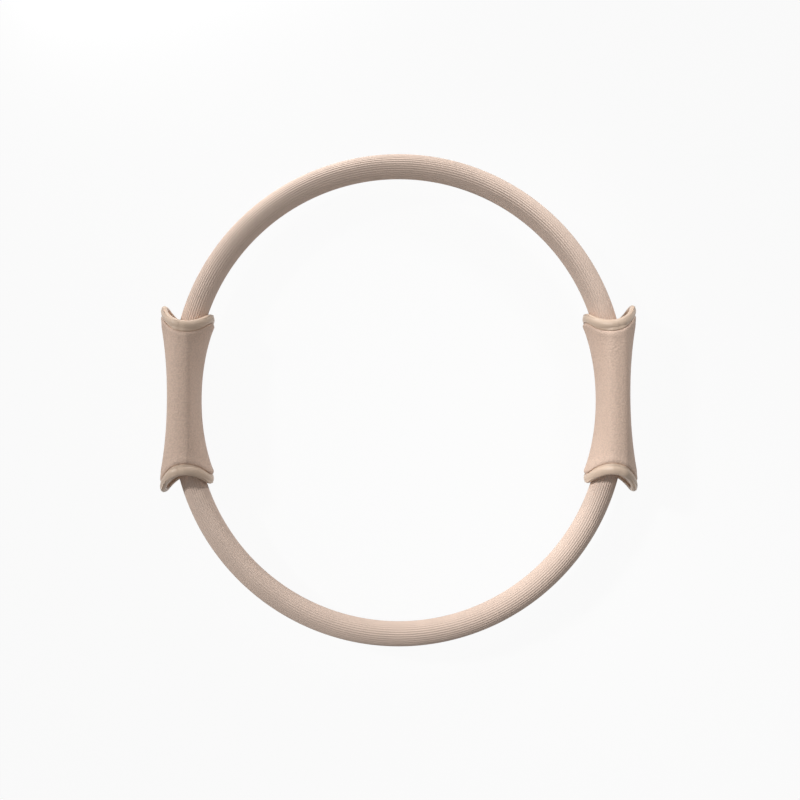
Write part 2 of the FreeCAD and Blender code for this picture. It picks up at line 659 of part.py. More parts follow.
def make_washer():
    body = screw_side("washer")
    inside = "-sizes.seat_height"
    outside = "-(sizes.seat_height + sizes.washer_thickness)"
    bore = "sizes.screw_diameter / 2 + sizes.screw_clearance"
    edge = "sizes.washer_diameter / 2"
    turn_profile(body, [(outside, bore), (outside, edge), (inside, edge), (inside, bore)])
    return body


def make_insert():
    """Brass bush with a groove that keys it in its boss."""
    body = screw_side("insert")
    start = "(sizes.band_thickness / 2 + sizes.hoop_clearance + sizes.insert_setback)"
    end = f"({start} + sizes.insert_length)"
    low = f"({start} + (sizes.insert_length - sizes.insert_groove_width) / 2)"
    high = f"({low} + sizes.insert_groove_width)"
    bore = "sizes.screw_diameter / 2 + sizes.thread_clearance"
    edge = "sizes.insert_diameter / 2"
    floor = f"{edge} - sizes.insert_groove_depth"
    turn_profile(body, [(start, bore), (start, edge), (low, edge), (low, floor), (high, floor),
                        (high, edge), (end, edge), (end, bore)])
    return body


def axis_cylinder(label, radius, start, length):
    """A cylinder on the upper screw's axis, from a height above the parting plane inwards."""
    cylinder = doc.addObject("Part::Cylinder", label)
    cylinder.Placement = Placement(Vector(0, 0, 0), Rotation(Vector(0, 1, 0), -90))
    cylinder.setExpression("Placement.Base.x", f"sizes.bend_radius - ({start})")
    cylinder.setExpression("Placement.Base.y", "sizes.screw_height")
    cylinder.setExpression("Radius", radius)
    cylinder.setExpression("Height", length)
    return cylinder


def make_cap(skin):
    """A round plug cut from the skin's own form, with a stub that enters the screw's well."""
    through = "sizes.grip_half_width + sizes.overrun"
    disc = axis_cylinder("cap_disc_tool", "sizes.cap_diameter / 2", "0", through)
    top = combined("Common", "cap_top", skin, disc)
    under = f"({bow_reach('inner', 'sizes.screw_height')} - sizes.skin_thickness)"
    stub = axis_cylinder("cap_stub", "sizes.cap_plug_diameter / 2", f"{under} - sizes.cap_plug_depth",
                         "sizes.cap_plug_depth")
    return combined("Fuse", "cap", top, stub)


def cap_holes():
    """The two round openings in the inner skin."""
    through = "sizes.grip_half_width + sizes.overrun"
    upper = axis_cylinder("cap_hole_tool", "sizes.cap_diameter / 2 + sizes.cap_clearance", "0", through)
    lower = mirrored(upper, "lower_cap_hole_tool", Vector(0, 1, 0))
    return grouped("cap_hole_tools", [upper, lower])


def pair(label, upper):
    """The upper piece and its mirror image below the handle's middle, as one node."""
    lower = mirrored(upper, f"{upper.Label}_below", Vector(0, 1, 0))
    return grouped(label, [upper, lower])


def make_right_handle(hoop_room):
    outer_skin = make_skin("outer")
    outer_skin.Label = "right_outer_grip"
    inner_skin = make_skin("inner")
    parting_block = make_parting_block()
    nodes = [outer_skin]
    nodes += [make_shell(half, hoop_room, parting_block) for half in ("outer", "inner")]
    nodes.append(combined("Cut", "right_inner_grip", inner_skin, cap_holes()))
    nodes.append(pair("right_clamp_screws", make_screw()))
    nodes.append(pair("right_screw_washers", make_washer()))
    nodes.append(pair("right_threaded_inserts", make_insert()))
    nodes.append(pair("right_screw_caps", make_cap(inner_skin)))
    return nodes


def check_document():
    """Stop if any object of the document failed."""
    doc.recompute()
    failed = [item.Label for item in doc.Objects if "Invalid" in item.State or "Error" in item.State]
    if failed:
        raise RuntimeError(f"failed objects: {failed}")


def export(nodes):
    for node in nodes:
        shape = node.Shape
        if shape.isNull() or not shape.isValid():
            raise RuntimeError(f"{node.Label} has no valid shape")
    os.makedirs("parts", exist_ok=True)
    for node in nodes:
        shape = node.Shape
        print(f"{node.Label}: {len(shape.Solids)} solid(s), {shape.Volume / 1000:.2f} cubic cm")
        shape.exportStep(f"parts/{node.Label}.step")


hoop_nodes, hoop_space = make_hoop()
right_nodes = make_right_handle(hoop_space)
left_nodes = [mirrored(node, node.Label.replace("right_", "left_"), Vector(1, 0, 0))
              for node in right_nodes]
check_document()
export(hoop_nodes + right_nodes + left_nodes)
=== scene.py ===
import json
import math

import bmesh
import bpy
from mathutils import Matrix, Vector


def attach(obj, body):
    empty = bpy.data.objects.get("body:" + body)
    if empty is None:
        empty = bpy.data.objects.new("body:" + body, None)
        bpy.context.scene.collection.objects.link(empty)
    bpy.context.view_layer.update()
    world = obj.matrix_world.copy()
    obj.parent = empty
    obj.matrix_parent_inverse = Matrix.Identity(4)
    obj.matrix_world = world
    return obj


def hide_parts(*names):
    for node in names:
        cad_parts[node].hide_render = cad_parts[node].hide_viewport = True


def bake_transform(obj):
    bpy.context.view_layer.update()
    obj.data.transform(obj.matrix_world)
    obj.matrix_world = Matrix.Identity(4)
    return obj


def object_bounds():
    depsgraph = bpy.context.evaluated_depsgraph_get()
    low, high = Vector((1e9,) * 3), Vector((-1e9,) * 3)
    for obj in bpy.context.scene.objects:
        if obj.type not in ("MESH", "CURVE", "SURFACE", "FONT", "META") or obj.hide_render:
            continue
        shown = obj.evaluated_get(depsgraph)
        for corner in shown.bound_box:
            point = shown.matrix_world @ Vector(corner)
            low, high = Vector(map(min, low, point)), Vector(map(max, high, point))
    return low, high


# Pilates ring, seen square on. Lengths are in millimetres until a mesh is made, and the stage is in metres.

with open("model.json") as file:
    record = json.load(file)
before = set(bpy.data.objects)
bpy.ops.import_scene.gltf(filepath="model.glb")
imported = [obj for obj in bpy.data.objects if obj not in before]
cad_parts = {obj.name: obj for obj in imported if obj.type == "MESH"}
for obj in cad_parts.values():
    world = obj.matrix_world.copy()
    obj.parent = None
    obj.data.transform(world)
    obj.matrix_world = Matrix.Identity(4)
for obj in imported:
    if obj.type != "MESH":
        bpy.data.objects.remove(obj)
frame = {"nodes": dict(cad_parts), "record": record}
cad_low, cad_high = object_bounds()
nodes = frame["nodes"]

MM = 0.001

# Hoop
BEND_RADIUS = 165.0
STRAIGHT_RUN = 30.0
SLEEVE_THICKNESS = 18.7
SLEEVE_DEPTH = 21.2
SLEEVE_END = 36.0
BAND_WIDTH = 12.0
BAND_THICKNESS = 3.8
BAND_END_GAP = 4.0
BAND_CORNER = 0.5
LUMEN_CLEARANCE = 0.2
LEAST_SHARE = 0.001
RIB_COUNT = 36
RIB_STEPS = 8
RIB_DEPTH = 0.36
BEND_STEPS = 96

# Handle halves
SEAM_GAP = 0.03
GRIP_HALF_WIDTH = 12.5
GRIP_HALF_DEPTH = 27.0
NOSE_RADIUS = 7.0
LAND_WIDTH = 2.0
BOW_HALF_LENGTH = 55.5
FLARE = {"outer": 5.0, "inner": 9.8}
DIP_RUN = 2.9
SADDLE_RADIUS = 21.0
SADDLE_MIDDLE = {"outer": -4.5, "inner": 4.5}
EAR_RADIUS = 4.0
RIM_RISE = {"outer": 14.6, "inner": 8.7}
RIM_BAND = 8.7
LIP_RADIUS = 2.2
LIP_INSET = 2.3
SKIN_THICKNESS = 1.1
BOND_GAP = 0.1

# Soft edge of the grip skins, and the steps of their mesh
SHOULDER_WIDTH = 2.2
SHOULDER_DEPTH = 0.95
HEM_SWELL = 0.3
HEM_MIDDLE = 3.0
HEM_WIDTH = 2.4
HEM_RUN = 7.0
HEM_STEPS = (0.0, 0.1, 0.3, 0.6, 1.0, 1.5, 2.2, 3.0, 4.0, 5.5)
NOSE_STEPS = 12
FACE_STEPS = 44
LENGTH_STEPS = 44
SETTLE_ROUNDS = 6

# Rounded face of the rims: one wide arc that runs into the lip. Its roots are shares of the lip's radius.
ROUND_RADIUS = 5.2
ROUND_TURN = math.radians(33)
ROUND_STEPS = 12
ROUND_ROOT_SHARES = ((0.41, 0.32), (0.18, -0.45), (0.27, -1.36))

# Screw caps
SCREW_HEIGHT = 22.0
CAP_DIAMETER = 12.0
CAP_CLEARANCE = 0.3
CAP_SIDES = 64
CAP_HOLE_DEPTH = 8.8

# Camera, in metres, and its lens in millimetres
CAMERA_PLACE = Vector((0.0, -0.040, 0.992))
CAMERA_AIM = Vector((0.0010, -0.0011, 0.0))
CAMERA_ROLL = math.radians(0.1)
CAMERA_LENS = 58.0

# Lamps, in metres and watts
LOW_LIGHT_PLACE = Vector((-0.168, 0.416, 0.021))
LOW_LIGHT_AIM = Vector((0.0, 0.0, 0.0))
LOW_LIGHT_POWER = 0.85
LOW_LIGHT_LENGTH = 0.3
LOW_LIGHT_HEIGHT = 0.06
EDGE_LIGHT_PLACE = Vector((0.255, 0.43, 0.226))
EDGE_LIGHT_AIM = Vector((0.02, -0.057, 0.0))
EDGE_LIGHT_POWER = 4.5
EDGE_LIGHT_SPREAD = math.radians(49.6)
EDGE_LIGHT_SIZE = 0.04
KEY_LIGHT_PLACE = Vector((-1.745, 0.783, 1.588))
KEY_LIGHT_AIM = Vector((0.071, -0.085, 0.0))
KEY_LIGHT_POWER = 285.0
KEY_LIGHT_SPREAD = math.radians(10.0)
KEY_LIGHT_SIZE = 0.2

# Floor and background: the share of plain white in the floor as seen, its grey, and the fill on the ring
FLOOR_REACH = 6.0
WHITE_SHARE = 0.94
FLOOR_GREY = 0.7
WORLD_FILL = 0.25

SHARP_ANGLE = math.radians(35)


def add_object(name, mesh):
    piece = bpy.data.objects.new(name, mesh)
    bpy.context.scene.collection.objects.link(piece)
    return piece


def mesh_piece(name, points, faces):
    """A closed piece from points in millimetres, smooth but for its sharp edges."""
    mesh = bpy.data.meshes.new(name)
    mesh.from_pydata([Vector(point) * MM for point in points], [], faces)
    work = bmesh.new()
    work.from_mesh(mesh)
    bmesh.ops.recalc_face_normals(work, faces=work.faces)
    work.to_mesh(mesh)
    work.free()
    finish_shading(mesh)
    return add_object(name, mesh)


def finish_shading(mesh):
    mesh.polygons.foreach_set("use_smooth", [True] * len(mesh.polygons))
    mesh.set_sharp_from_angle(angle=SHARP_ANGLE)


def grid_faces(rows, columns, first=0, closed=False):
    """Quads of a grid of points, rows by columns, closed around its columns or not."""
    faces = []
    for row in range(rows - 1):
        for column in range(columns if closed else columns - 1):
            beside = (column + 1) % columns
            start = first + row * columns
            above = start + columns
            faces.append((start + column, start + beside, above + beside, above + column))
    return faces


# Materials

def new_material(name):
    material = bpy.data.materials.new(name)
    material.use_nodes = True
    tree = material.node_tree
    shader = tree.nodes["Principled BSDF"]
    place = tree.nodes.new("ShaderNodeTexCoord").outputs["Object"]
    return material, tree, shader, place


def noise(tree, place, scale, detail):
    node = tree.nodes.new("ShaderNodeTexNoise")
    node.inputs["Scale"].default_value = scale
    node.inputs["Detail"].default_value = detail
    tree.links.new(place, node.inputs["Vector"])
    return node.outputs["Fac"]


def shade(tree, source, colour, shares, limits):
    """Two shades of a colour over a range of a texture."""
    node = tree.nodes.new("ShaderNodeValToRGB")
    for element, share, limit in zip(node.color_ramp.elements, shares, limits):
        element.position = limit
        element.color = (*[channel * share for channel in colour], 1.0)
    tree.links.new(source, node.inputs["Fac"])
    return node.outputs["Color"]


def spread(tree, source, limits):
    """A texture's value, spread between two limits."""
    low, high = limits
    node = tree.nodes.new("ShaderNodeMapRange")
    node.inputs["To Min"].default_value = low
    node.inputs["To Max"].default_value = high
    tree.links.new(source, node.inputs["Value"])
    return node.outputs["Result"]


def add_bump(tree, height, distance, strength):
    node = tree.nodes.new("ShaderNodeBump")
    node.inputs["Distance"].default_value = distance
    node.inputs["Strength"].default_value = strength
    tree.links.new(height, node.inputs["Height"])
    return node.outputs["Normal"]


# Colours, textures in cells per metre, bump heights in metres
SLEEVE_COLOUR = (0.80, 0.63, 0.527)
SLEEVE_SHADE_SHARES = (0.97, 1.02)
SLEEVE_CLOUD = 60.0
SLEEVE_BLOOM = 1800.0
SLEEVE_BLOOM_HEIGHT = 0.0001
SLEEVE_BLOOM_STRENGTH = 0.25
SLEEVE_ROUGHNESS = (0.50, 0.62)
GRIP_COLOUR = (0.77, 0.575, 0.46)
# Painted light on the grip's grain: paler cell middles and darker cell edges
GRIP_PAINTED_GRAIN_LIGHT_SHARES = (1.05, 0.93)
GRIP_PAINTED_GRAIN_LIGHT_RANGE = (0.25, 0.7)
GRIP_GRAIN = 780.0
GRIP_GRAIN_SMOOTHNESS = 0.5
GRIP_GRAIN_HEIGHT = 0.0006
GRIP_GRAIN_STRENGTH = 0.5
GRIP_CLOUD = 90.0
GRIP_ROUGHNESS = (0.55, 0.68)
SHELL_COLOUR = (0.73, 0.56, 0.43)
SHELL_SHADE_SHARES = (0.98, 1.02)
SHELL_CLOUD = 70.0
SHELL_CLOUD_HEIGHT = 0.0003
SHELL_CLOUD_STRENGTH = 0.1
SHELL_POLISH = 900.0
SHELL_ROUGHNESS = (0.36, 0.46)
BAND_COLOUR = (0.50, 0.52, 0.38)
BAND_SHADE_SHARES = (0.8, 1.15)
BAND_FIBRES = 700.0
BAND_ROUGHNESS = (0.3, 0.5)
STEEL_COLOUR = (0.62, 0.63, 0.64)
STEEL_MARKS = 900.0
BRASS_COLOUR = (0.70, 0.52, 0.24)
BRASS_MARKS = 700.0
METAL_SHADE_SHARES = (0.9, 1.05)
METAL_MARK_HEIGHT = 0.0001
METAL_MARK_STRENGTH = 0.2
METAL_ROUGHNESS = (0.28, 0.48)
SOFT_SHINE = 0.35
HARD_SHINE = 0.45
SHADE_RANGE = (0.3, 0.7)
FINE_DETAIL = 2.0
CLOUD_DETAIL = 3.0
MARK_DETAIL = 4.0


def sleeve_material():
    """Extruded soft tube: satin, with a faint cloudiness and a fine matt bloom."""
    material, tree, shader, place = new_material("sleeve")
    cloud = noise(tree, place, SLEEVE_CLOUD, CLOUD_DETAIL)
    colour = shade(tree, cloud, SLEEVE_COLOUR, SLEEVE_SHADE_SHARES, SHADE_RANGE)
    tree.links.new(colour, shader.inputs["Base Color"])
    bloom = noise(tree, place, SLEEVE_BLOOM, FINE_DETAIL)
    tree.links.new(spread(tree, bloom, SLEEVE_ROUGHNESS), shader.inputs["Roughness"])
    bump = add_bump(tree, bloom, SLEEVE_BLOOM_HEIGHT, SLEEVE_BLOOM_STRENGTH)
    tree.links.new(bump, shader.inputs["Normal"])
    shader.inputs["Specular IOR Level"].default_value = SOFT_SHINE
    return material


def grip_material():
    """Soft skin with a fine even grain of small bumped cells, and painted light on that grain: the cells'
    middles are painted paler and their edges darker.
    """
    material, tree, shader, place = new_material("grip")
    cells = tree.nodes.new("ShaderNodeTexVoronoi")
    cells.feature = "SMOOTH_F1"
    cells.inputs["Scale"].default_value = GRIP_GRAIN
    cells.inputs["Smoothness"].default_value = GRIP_GRAIN_SMOOTHNESS
    tree.links.new(place, cells.inputs["Vector"])
    grain = cells.outputs["Distance"]
    # Painted light: the grain's cell middles are painted paler and their edges darker, standing in for
    # light on the grain
    colour = shade(tree, grain, GRIP_COLOUR, GRIP_PAINTED_GRAIN_LIGHT_SHARES, GRIP_PAINTED_GRAIN_LIGHT_RANGE)
    tree.links.new(colour, shader.inputs["Base Color"])
    cloud = noise(tree, place, GRIP_CLOUD, CLOUD_DETAIL)
    tree.links.new(spread(tree, cloud, GRIP_ROUGHNESS), shader.inputs["Roughness"])
    tree.links.new(add_bump(tree, grain, GRIP_GRAIN_HEIGHT, GRIP_GRAIN_STRENGTH), shader.inputs["Normal"])
    shader.inputs["Specular IOR Level"].default_value = SOFT_SHINE
    return material


def shell_material():
    """Hard moulded rim: smooth satin, with the faintest waviness."""
    material, tree, shader, place = new_material("shell")
    cloud = noise(tree, place, SHELL_CLOUD, CLOUD_DETAIL)
    colour = shade(tree, cloud, SHELL_COLOUR, SHELL_SHADE_SHARES, SHADE_RANGE)
    tree.links.new(colour, shader.inputs["Base Color"])
    polish = noise(tree, place, SHELL_POLISH, FINE_DETAIL)
    tree.links.new(spread(tree, polish, SHELL_ROUGHNESS), shader.inputs["Roughness"])
    tree.links.new(add_bump(tree, cloud, SHELL_CLOUD_HEIGHT, SHELL_CLOUD_STRENGTH), shader.inputs["Normal"])
    shader.inputs["Specular IOR Level"].default_value = HARD_SHINE
    return material


def band_material():
    """Pultruded fibreglass: mottled under clear resin."""
    material, tree, shader, place = new_material("spring_band")
    fibres = noise(tree, place, BAND_FIBRES, MARK_DETAIL)
    colour = shade(tree, fibres, BAND_COLOUR, BAND_SHADE_SHARES, SHADE_RANGE)
    tree.links.new(colour, shader.inputs["Base Color"])
    tree.links.new(spread(tree, fibres, BAND_ROUGHNESS), shader.inputs["Roughness"])
    return material


def metal_material(name, colour, scale):
    """Plated or turned metal with faint marks."""
    material, tree, shader, place = new_material(name)
    marks = noise(tree, place, scale, MARK_DETAIL)
    shades = shade(tree, marks, colour, METAL_SHADE_SHARES, SHADE_RANGE)
    tree.links.new(shades, shader.inputs["Base Color"])
    tree.links.new(spread(tree, marks, METAL_ROUGHNESS), shader.inputs["Roughness"])
    tree.links.new(add_bump(tree, marks, METAL_MARK_HEIGHT, METAL_MARK_STRENGTH), shader.inputs["Normal"])
    shader.inputs["Metallic"].default_value = 1.0
    return material


MATERIALS = {
    "sleeve": sleeve_material(),
    "grip": grip_material(),
    "shell": shell_material(),
    "spring_band": band_material(),
    "steel": metal_material("steel", STEEL_COLOUR, STEEL_MARKS),
    "insert": metal_material("insert", BRASS_COLOUR, BRASS_MARKS),
}


def finish_piece(piece, slot):
    piece.data.materials.clear()
    piece.data.materials.append(MATERIALS[slot])
    return piece


# Hoop quarters: each runs from inside a handle to the top or bottom of the ring

def slot_outline(share):
    """Point and outward normal on the sleeve's section, at a share of the way round it."""
    radius = SLEEVE_THICKNESS / 2
    flat = SLEEVE_DEPTH - SLEEVE_THICKNESS
    bend = math.pi * radius
    along = share * 2 * (bend + flat)
    half, along = divmod(along, bend + flat)
    sign = -1 if half else 1
    if along < bend:
        turn = along / radius
        normal = (math.cos(turn), math.sin(turn))
        point = (radius * normal[0], flat / 2 + radius * normal[1])
    else:
        normal = (-1.0, 0.0)
        point = (-radius, flat / 2 - (along - bend))
    return [sign * value for value in point], [sign * value for value in normal]


def ribbed_section():
    """Ribbed outside of the sleeve: (outwards, along the ring's axis)."""
    count = RIB_COUNT * RIB_STEPS
    section = []
    for number in range(count):
        point, normal = slot_outline(number / count)
        groove = RIB_DEPTH / 2 * (1 - math.cos(2 * math.pi * number / RIB_STEPS))
        section.append([value - groove * direction for value, direction in zip(point, normal)])
    return section


def lumen_section():
    """Flat passage for the band, with one point for each rib."""
    half_thickness = BAND_THICKNESS / 2 + LUMEN_CLEARANCE
    half_width = BAND_WIDTH / 2 + LUMEN_CLEARANCE
    section = []
    for number in range(RIB_COUNT):
        point = slot_outline(number / RIB_COUNT)[0]
        shrink = min(half_thickness / max(abs(point[0]), half_thickness * LEAST_SHARE),
                     half_width / max(abs(point[1]), half_width * LEAST_SHARE))
        section.append([value * shrink for value in point])
    return section


def bend_points(section, turns, side, level):
    """A section carried round the bend of one quarter of the hoop."""
    points = []
    for turn in turns:
        for out, deep in section:
            x = (BEND_RADIUS + out) * math.cos(turn)
            y = STRAIGHT_RUN / 2 + (BEND_RADIUS + out) * math.sin(turn)
            points.append((side * x, level * y, deep))
    return points


def bend_turns(start):
    return [start + (math.pi / 2 - start) * step / BEND_STEPS for step in range(BEND_STEPS + 1)]


def sleeve_quarter(name, side, level):
    start = math.asin((SLEEVE_END - STRAIGHT_RUN / 2) / BEND_RADIUS)
    turns = bend_turns(start)
    outside = ribbed_section()
    inside = lumen_section()
    around = len(outside)
    points = bend_points(outside, turns, side, level)
    first = len(points)
    points += bend_points(inside, turns, side, level)
    rows = len(turns)
    faces = grid_faces(rows, around, 0, True) + grid_faces(rows, RIB_COUNT, first, True)
    for row in (0, rows - 1):
        for rib in range(RIB_COUNT):
            rim = [row * around + (rib * RIB_STEPS + step) % around for step in range(RIB_STEPS + 1)]
            hole = [first + row * RIB_COUNT + (rib + step) % RIB_COUNT for step in (1, 0)]
            faces.append(rim + hole)
    return mesh_piece(name, points, faces)


def band_section():
    """Flat strip with small rounded corners, as (outwards, along the ring's axis)."""
    half_thickness = BAND_THICKNESS / 2
    half_width = BAND_WIDTH / 2
    inner_thickness = half_thickness - BAND_CORNER
    inner_width = half_width - BAND_CORNER
    return [(half_thickness, -inner_width), (half_thickness, inner_width), (inner_thickness, half_width),
            (-inner_thickness, half_width), (-half_thickness, inner_width), (-half_thickness, -inner_width),
            (-inner_thickness, -half_width), (inner_thickness, -half_width)]


def band_quarter(name, side, level):
    section = band_section()
    points = [(side * (BEND_RADIUS + out), level * BAND_END_GAP / 2, deep) for out, deep in section]
    points += bend_points(section, bend_turns(0.0), side, level)
    around = len(section)
    rows = len(points) // around
    faces = grid_faces(rows, around, 0, True)
    faces.append(tuple(range(around)))
    faces.append(tuple(range((rows - 1) * around, rows * around)))
    return mesh_piece(name, points, faces)


def make_hoop():
    """Four quarters of sleeve and band, each bending from its handle to the top or bottom."""
    for level_name, level in (("upper", 1), ("lower", -1)):
        for side_name, side, partner in (("left", -1, "sleeve"), ("right", 1, "band")):
            sleeve = sleeve_quarter(f"{level_name}_{side_name}_sleeve", side, level)
            band = band_quarter(f"{level_name}_{side_name}_band", side, level)
            for piece, slot in ((sleeve, "sleeve"), (band, "spring_band")):
                finish_piece(piece, slot)
                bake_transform(piece)
            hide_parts(f"{level_name}_sleeve")
            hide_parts(f"{level_name}_spring_band")


# Grip skins

def face_reach(half, height):
    """Distance from the parting plane to the grip's face at a height."""
    flare = FLARE[half]
    radius = (flare ** 2 + BOW_HALF_LENGTH ** 2) / (2 * flare)
    height = min(abs(height), BOW_HALF_LENGTH)
    return GRIP_HALF_WIDTH + radius - math.sqrt(radius ** 2 - height ** 2)


def half_outline(half, height, inset):
    """D-shaped section from land to land, as (away from the parting plane, along the ring's axis)."""
    depth = GRIP_HALF_DEPTH - inset
    nose = NOSE_RADIUS - inset
    face = face_reach(half, height) - inset
    run = face - LAND_WIDTH
    crown = (run ** 2 + (depth - nose) ** 2 - nose ** 2) / (2 * (run - nose))
    turn = math.atan2(depth - nose, crown - run)
    upper = [(SEAM_GAP / 2, depth)]
    for step in range(1, NOSE_STEPS):
        share = step / NOSE_STEPS
        angle = math.pi / 2 + (turn - math.pi / 2) * share
        start = LAND_WIDTH * (1 - (1 - share) ** 2)
        upper.append((start + nose * math.cos(angle), depth - nose + nose * math.sin(angle)))
    for step in range(FACE_STEPS // 2):
        angle = turn * (1 - 2 * step / FACE_STEPS)
        upper.append((face - crown + crown * math.cos(angle), crown * math.sin(angle)))
    lower = [(away, -deep) for away, deep in reversed(upper)]
    return upper + [(face, 0.0)] + lower


def skin_end(half, away):
    """Height where a skin ends: a round dip and a rounded ear, seen along the ring's axis."""
    dip = BOW_HALF_LENGTH + DIP_RUN - RIM_BAND
    reach = SADDLE_RADIUS + EAR_RADIUS
    drop = reach - RIM_RISE[half]
    across = math.sqrt(reach ** 2 - drop ** 2)
    place = away - SADDLE_MIDDLE[half]
    if place * reach < across * SADDLE_RADIUS:
        return dip + SADDLE_RADIUS - math.sqrt(SADDLE_RADIUS ** 2 - place ** 2)
    over = max(across - place, 0.0)
    return dip + RIM_RISE[half] - EAR_RADIUS + math.sqrt(EAR_RADIUS ** 2 - over ** 2)


def hem_inset(distance):
    """How far the skin's face lies below its plain form, near its end."""
    swell = HEM_SWELL * math.exp(-((distance - HEM_MIDDLE) / HEM_WIDTH) ** 2)
    if distance >= SHOULDER_WIDTH:
        return -swell
    share = 1 - distance / SHOULDER_WIDTH
    return SHOULDER_DEPTH * (1 - math.sqrt(1 - share ** 2)) - swell * (1 - share)


def skin_row(half, place, inset):
    """One line of points across a skin. A place gives a height from the skin's end height."""
    row = []
    count = len(half_outline(half, 0.0, 0.0))
    for column in range(count):
        away = half_outline(half, BOW_HALF_LENGTH, inset)[column][0]
        for _ in range(SETTLE_ROUNDS):
            height = place(skin_end(half, away))
            away, deep = half_outline(half, height, inset)[column]
        row.append((away, height, deep))
    return row


def skin_places():
    """Rules for the rows' heights, from the lower end to the upper, each with its face's inset."""
    rows = []
    for step in HEM_STEPS:
        rows.append((lambda end, step=step: step - end, hem_inset(step)))
    for step in range(LENGTH_STEPS + 1):
        share = 2 * step / LENGTH_STEPS - 1
        rows.append((lambda end, share=share: share * (end - HEM_RUN), 0.0))
    for step in reversed(HEM_STEPS):
        rows.append((lambda end, step=step: end - step, hem_inset(step)))
    return rows


def skin_piece(name, half, side):
    """Closed soft skin of one half: face, underside and edges."""
    places = skin_places()
    face = [skin_row(half, place, inset) for place, inset in places]
    under = [skin_row(half, place, SKIN_THICKNESS - BOND_GAP) for place, _ in places]
    rows, columns = len(face), len(face[0])
    towards = 1 if half == "outer" else -1
    points = [(side * (BEND_RADIUS + towards * away), height, deep)
              for row in face + under for away, height, deep in row]
    first = rows * columns
    faces = grid_faces(rows, columns) + grid_faces(rows, columns, first)
    border = list(range(columns))
    border += [row * columns + columns - 1 for row in range(1, rows)]
    border += [(rows - 1) * columns + column for column in range(columns - 2, -1, -1)]
    border += [row * columns for row in range(rows - 2, 0, -1)]
    for here, there in zip(border, border[1:] + border[:1]):
        faces.append((here, there, first + there, first + here))
    return mesh_piece(name, points, faces)


def cut_cap_holes(piece, side):
    """Two round openings for the screw caps."""
    cutters = []
    for level in (1, -1):
        mesh = bpy.data.meshes.new("cap_hole")
        work = bmesh.new()
        turn = Matrix.Rotation(math.pi / 2, 4, "Y")
        middle = Vector((side * (BEND_RADIUS - GRIP_HALF_WIDTH), level * SCREW_HEIGHT, 0))
        place = Matrix.Translation(middle * MM)
        radius = (CAP_DIAMETER / 2 + CAP_CLEARANCE) * MM
        bmesh.ops.create_cone(work, cap_ends=True, segments=CAP_SIDES, radius1=radius, radius2=radius,
                              depth=CAP_HOLE_DEPTH * MM, matrix=place @ turn)
        work.to_mesh(mesh)
        work.free()
        cutters.append(add_object("cap_hole", mesh))
    for cutter in cutters:
        cut = piece.modifiers.new("cap_hole", "BOOLEAN")
        cut.object = cutter
        cut.operation = "DIFFERENCE"
        cut.solver = "EXACT"
    bpy.context.view_layer.update()
    evaluated = piece.evaluated_get(bpy.context.evaluated_depsgraph_get())
    mesh = bpy.data.meshes.new_from_object(evaluated)
    piece.modifiers.clear()
    piece.data = mesh
    finish_shading(mesh)
    for cutter in cutters:
        bpy.data.objects.remove(cutter)


def make_skins():
    for side_name, side in (("left", -1), ("right", 1)):
        for half in ("outer", "inner"):
            piece = skin_piece(f"{side_name}_{half}_skin", half, side)
            if half == "inner":
                cut_cap_holes(piece, side)
            finish_piece(piece, "grip")
            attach(piece, f"{side_name}_handle")
            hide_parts(f"{side_name}_{half}_grip")


# Rims

def lip_places(half):
    """Points along the middle of an upper lip, from the front of the ring to its back."""
    return skin_row(half, lambda end: end + RIM_BAND - LIP_RADIUS, LIP_INSET)


def round_profile():
    """Section of a rim's rounded face, as (outwards, along the face) from the lip's middle."""
    out = -(ROUND_RADIUS - LIP_RADIUS) * math.cos(ROUND_TURN)
    along = -(ROUND_RADIUS - LIP_RADIUS) * math.sin(ROUND_TURN)
    profile = []
    for step in range(ROUND_STEPS + 1):
        angle = ROUND_TURN * (2 * step / ROUND_STEPS - 1)
        profile.append((out + ROUND_RADIUS * math.cos(angle), along + ROUND_RADIUS * math.sin(angle)))
    roots = [(LIP_RADIUS * across, LIP_RADIUS * down) for across, down in ROUND_ROOT_SHARES]
    return profile + roots


def rim_piece(name, half, side, level):
    """Rounded face of one rim, closed, with its roots inside the hard shell."""
    places = [Vector(place) for place in lip_places(half)]
    profile = round_profile()
    last = len(places) - 1
    towards = 1 if half == "outer" else -1
    points = []
    for column, place in enumerate(places):
        ahead = places[min(column + 1, last)] - places[max(column - 1, 0)]
        outwards = Vector((-ahead.z, 0.0, ahead.x)).normalized()
        upwards = ahead.cross(outwards).normalized()
        if upwards.y < 0:
            upwards = -upwards
        for out, along in profile:
            shrink = upwards.y if along < 0 else 1.0
            away, height, deep = place + out * outwards + along * shrink * upwards
            points.append((side * (BEND_RADIUS + towards * away), level * height, deep))
    around = len(profile)
    faces = grid_faces(len(places), around, 0, True)
    faces.append(tuple(range(around)))
    faces.append(tuple(range(last * around, (last + 1) * around)))
    return mesh_piece(name, points, faces)


def make_rims():
    for side_name, side in (("left", -1), ("right", 1)):
        for level_name, level in (("upper", 1), ("lower", -1)):
            for half in ("outer", "inner"):
                piece = rim_piece(f"{side_name}_{level_name}_{half}_rim", half, side, level)
                finish_piece(piece, "shell")
                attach(piece, f"{side_name}_handle")


def finish_cad_nodes():
    """Better materials on the solids that show as they are."""
    for part in frame["record"]["subparts"]:
        node = nodes[part["node"]]
        if not node.hide_render:
            finish_piece(node, part["material_slot"])


# Stage

def seen_directly(tree):
    """1 for rays that show the background: from the camera, or by a mirror or glass."""
    path = tree.nodes.new("ShaderNodeLightPath")
    total = path.outputs["Is Camera Ray"]
    for kind in ("Is Glossy Ray", "Is Transmission Ray"):
        node = tree.nodes.new("ShaderNodeMath")
        node.operation = "MAXIMUM"
        tree.links.new(total, node.inputs[0])
        tree.links.new(path.outputs[kind], node.inputs[1])
        total = node.outputs["Value"]
    return total


